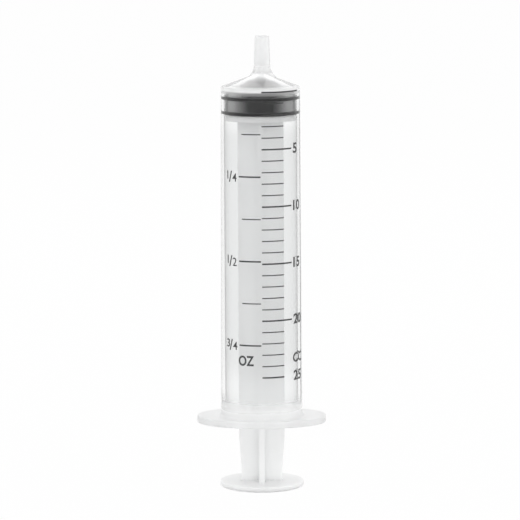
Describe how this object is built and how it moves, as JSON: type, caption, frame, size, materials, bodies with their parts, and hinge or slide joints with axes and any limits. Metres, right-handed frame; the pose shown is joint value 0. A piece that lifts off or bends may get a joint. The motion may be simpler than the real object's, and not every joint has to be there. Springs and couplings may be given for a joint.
{
  "type": "eccentric tip syringe",
  "caption": "Syringe with a clear barrel, an oval finger flange, an off-centre slip tip and a ribbed plunger with a rubber gasket, for drawing up and giving liquids.",
  "frame": {"origin": "centre of the thumb rest's underside, on the plunger's axis", "axes": "+Z along the plunger's axis towards the tip; +Y from the axis towards the off-centre tip; X along the length of the finger flange"},
  "size_m": [0.0356, 0.0246, 0.1244],
  "materials": {
    "rod_plastic": "satin",
    "gasket_rubber": "matte",
    "barrel_plastic": "gloss"
  },
  "bodies": {
    "plunger": {"plunger_rod": "rod_plastic"},
    "seal": {"gasket": "gasket_rubber"},
    "barrel": {"barrel": "barrel_plastic"}
  },
  "joints": [
    {"name": "plunger_spin", "type": "hinge", "parent": "plunger", "child": "seal", "pos_m": [0, 0, 0.1035], "axis": [0, 0, 1], "continuous": true},
    {"name": "plunger_slide", "type": "slide", "parent": "seal", "child": "barrel", "axis": [0, 0, 1], "range_m": [0, 0.0786]}
  ]
}
